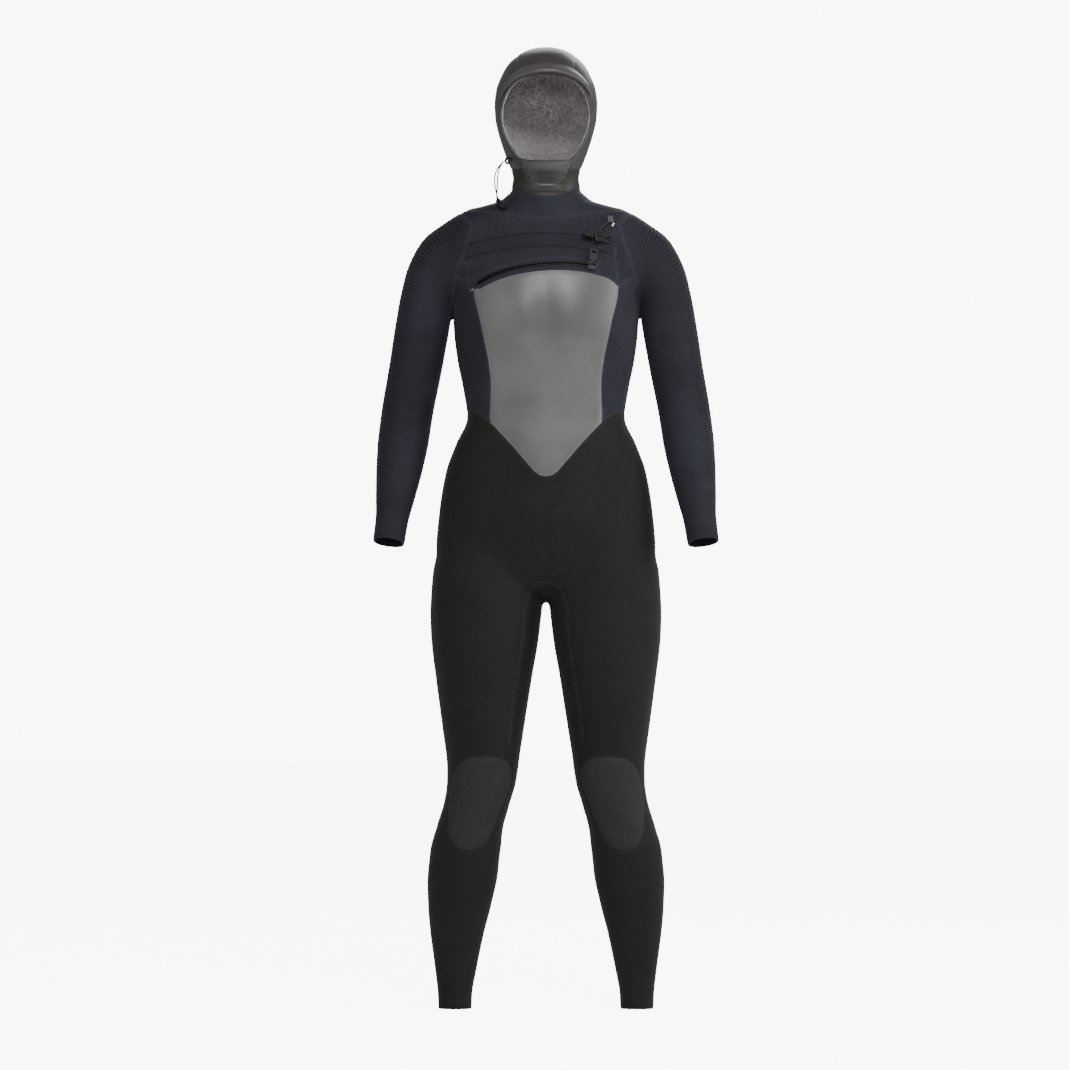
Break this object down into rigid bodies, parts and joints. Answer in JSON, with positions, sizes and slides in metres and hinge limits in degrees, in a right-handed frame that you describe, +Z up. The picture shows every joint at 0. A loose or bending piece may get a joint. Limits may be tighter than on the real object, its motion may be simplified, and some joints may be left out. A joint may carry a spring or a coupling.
{
  "type": "full wetsuit",
  "caption": "Hooded chest-zip full wetsuit of sewn neoprene panels with ribbed sleeves, knee pads, a storm flap with a sliding zip, and cord locks",
  "frame": {"origin": "centre of the collar seam at the neck", "axes": "+Z up to the crown, -Y out of the chest, +X to the wearer's left"},
  "size_m": [0.5726, 0.236, 1.5951],
  "materials": {
    "smooth_skin": "satin",
    "hood_rubber": "satin",
    "navy_jersey": "matte",
    "black_jersey": "matte",
    "knee_rubber": "matte",
    "fleece": "matte",
    "binding": "satin",
    "cord": "matte",
    "plastic": "satin",
    "teeth": "satin",
    "pull_rubber": "satin",
    "metal": "polished"
  },
  "bodies": {
    "root": {"back_panel": "navy_jersey", "back_yoke": "navy_jersey", "chest_flap": "navy_jersey", "chest_panel": "smooth_skin", "closure_cord_diagonal": "cord", "closure_cord_lock": "plastic", "closure_cord_loop": "cord", "closure_crimp": "metal", "closure_keeper": "plastic", "closure_loop_tab": "binding", "collar": "navy_jersey", "crotch_gusset": "black_jersey", "elbow_left": "navy_jersey", "elbow_right": "navy_jersey", "hip_panel": "black_jersey", "hood_chin_panel": "hood_rubber", "hood_cord_eyelet": "plastic", "hood_cord_lock": "plastic", "hood_crown": "hood_rubber", "hood_drawcord_back": "cord", "hood_drawcord_front": "cord", "hood_face_binding": "binding", "hood_lining": "fleece", "hood_neck": "hood_rubber", "hood_side_left": "hood_rubber", "hood_side_right": "hood_rubber", "hood_visor": "hood_rubber", "inner_thigh_left": "black_jersey", "inner_thigh_right": "black_jersey", "knee_left": "black_jersey", "knee_pad_left": "knee_rubber", "knee_pad_right": "knee_rubber", "knee_right": "black_jersey", "neck_barrier": "navy_jersey", "seat_panel": "black_jersey", "shoulder_left": "navy_jersey", "shoulder_right": "navy_jersey", "side_panel_left": "navy_jersey", "side_panel_right": "navy_jersey", "sleeve_upper_left": "navy_jersey", "sleeve_upper_right": "navy_jersey", "thigh_left": "black_jersey", "thigh_right": "black_jersey", "zip_end_stops": "teeth", "zip_tape_lower": "navy_jersey", "zip_tape_upper": "navy_jersey", "zip_teeth": "teeth"},
    "zip_slider": {"zip_slider": "metal"},
    "zip_pull": {"zip_pull_tab": "pull_rubber"},
    "chest_lock_button": {"closure_lock_button": "plastic"},
    "hood_lock_button": {"hood_cord_lock_button": "plastic"},
    "forearm_left": {"forearm_left": "navy_jersey", "wrist_cuff_left": "navy_jersey"},
    "shin_left": {"shin_left": "black_jersey", "ankle_cuff_left": "black_jersey"},
    "forearm_right": {"forearm_right": "navy_jersey", "wrist_cuff_right": "navy_jersey"},
    "shin_right": {"shin_right": "black_jersey", "ankle_cuff_right": "black_jersey"}
  },
  "joints": [
    {"name": "zip_run", "type": "hinge", "parent": "root", "child": "zip_slider", "pos_m": [0.01149, 0.05926, -0.32538], "axis": [0.0616, -0.8188, -0.5708], "range_deg": [0, 37.87]},
    {"name": "zip_pull_flip", "type": "hinge", "parent": "zip_slider", "child": "zip_pull", "pos_m": [0.07704, -0.09946, -0.09181], "axis": [0.9722, 0.1787, -0.1514], "range_deg": [0, 150]},
    {"name": "chest_lock_press", "type": "slide", "parent": "root", "child": "chest_lock_button", "axis": [0.956, 0.174, -0.2362], "range_m": [0, 0.003], "stiffness_N_per_m": 300, "springref_m": -0.001},
    {"name": "hood_lock_press", "type": "slide", "parent": "root", "child": "hood_lock_button", "axis": [-0.514, 0.5287, 0.6755], "range_m": [0, 0.003], "stiffness_N_per_m": 300, "springref_m": -0.001},
    {"name": "elbow_bend_left", "type": "hinge", "parent": "root", "child": "forearm_left", "pos_m": [0.23, 0.012, -0.335], "axis": [-0.9845, 0, -0.1756], "range_deg": [0, 90], "deforming": ["elbow_left"]},
    {"name": "elbow_bend_right", "type": "hinge", "parent": "root", "child": "forearm_right", "pos_m": [-0.23, 0.012, -0.335], "axis": [-0.9845, 0, 0.1756], "range_deg": [0, 90], "deforming": ["elbow_right"]},
    {"name": "knee_bend_left", "type": "hinge", "parent": "root", "child": "shin_left", "pos_m": [0.112, 0, -0.972], "axis": [1, 0, 0], "range_deg": [0, 90], "deforming": ["knee_left", "knee_pad_left"]},
    {"name": "knee_bend_right", "type": "hinge", "parent": "root", "child": "shin_right", "pos_m": [-0.112, 0, -0.972], "axis": [1, 0, 0], "range_deg": [0, 90], "deforming": ["knee_right", "knee_pad_right"]}
  ]
}
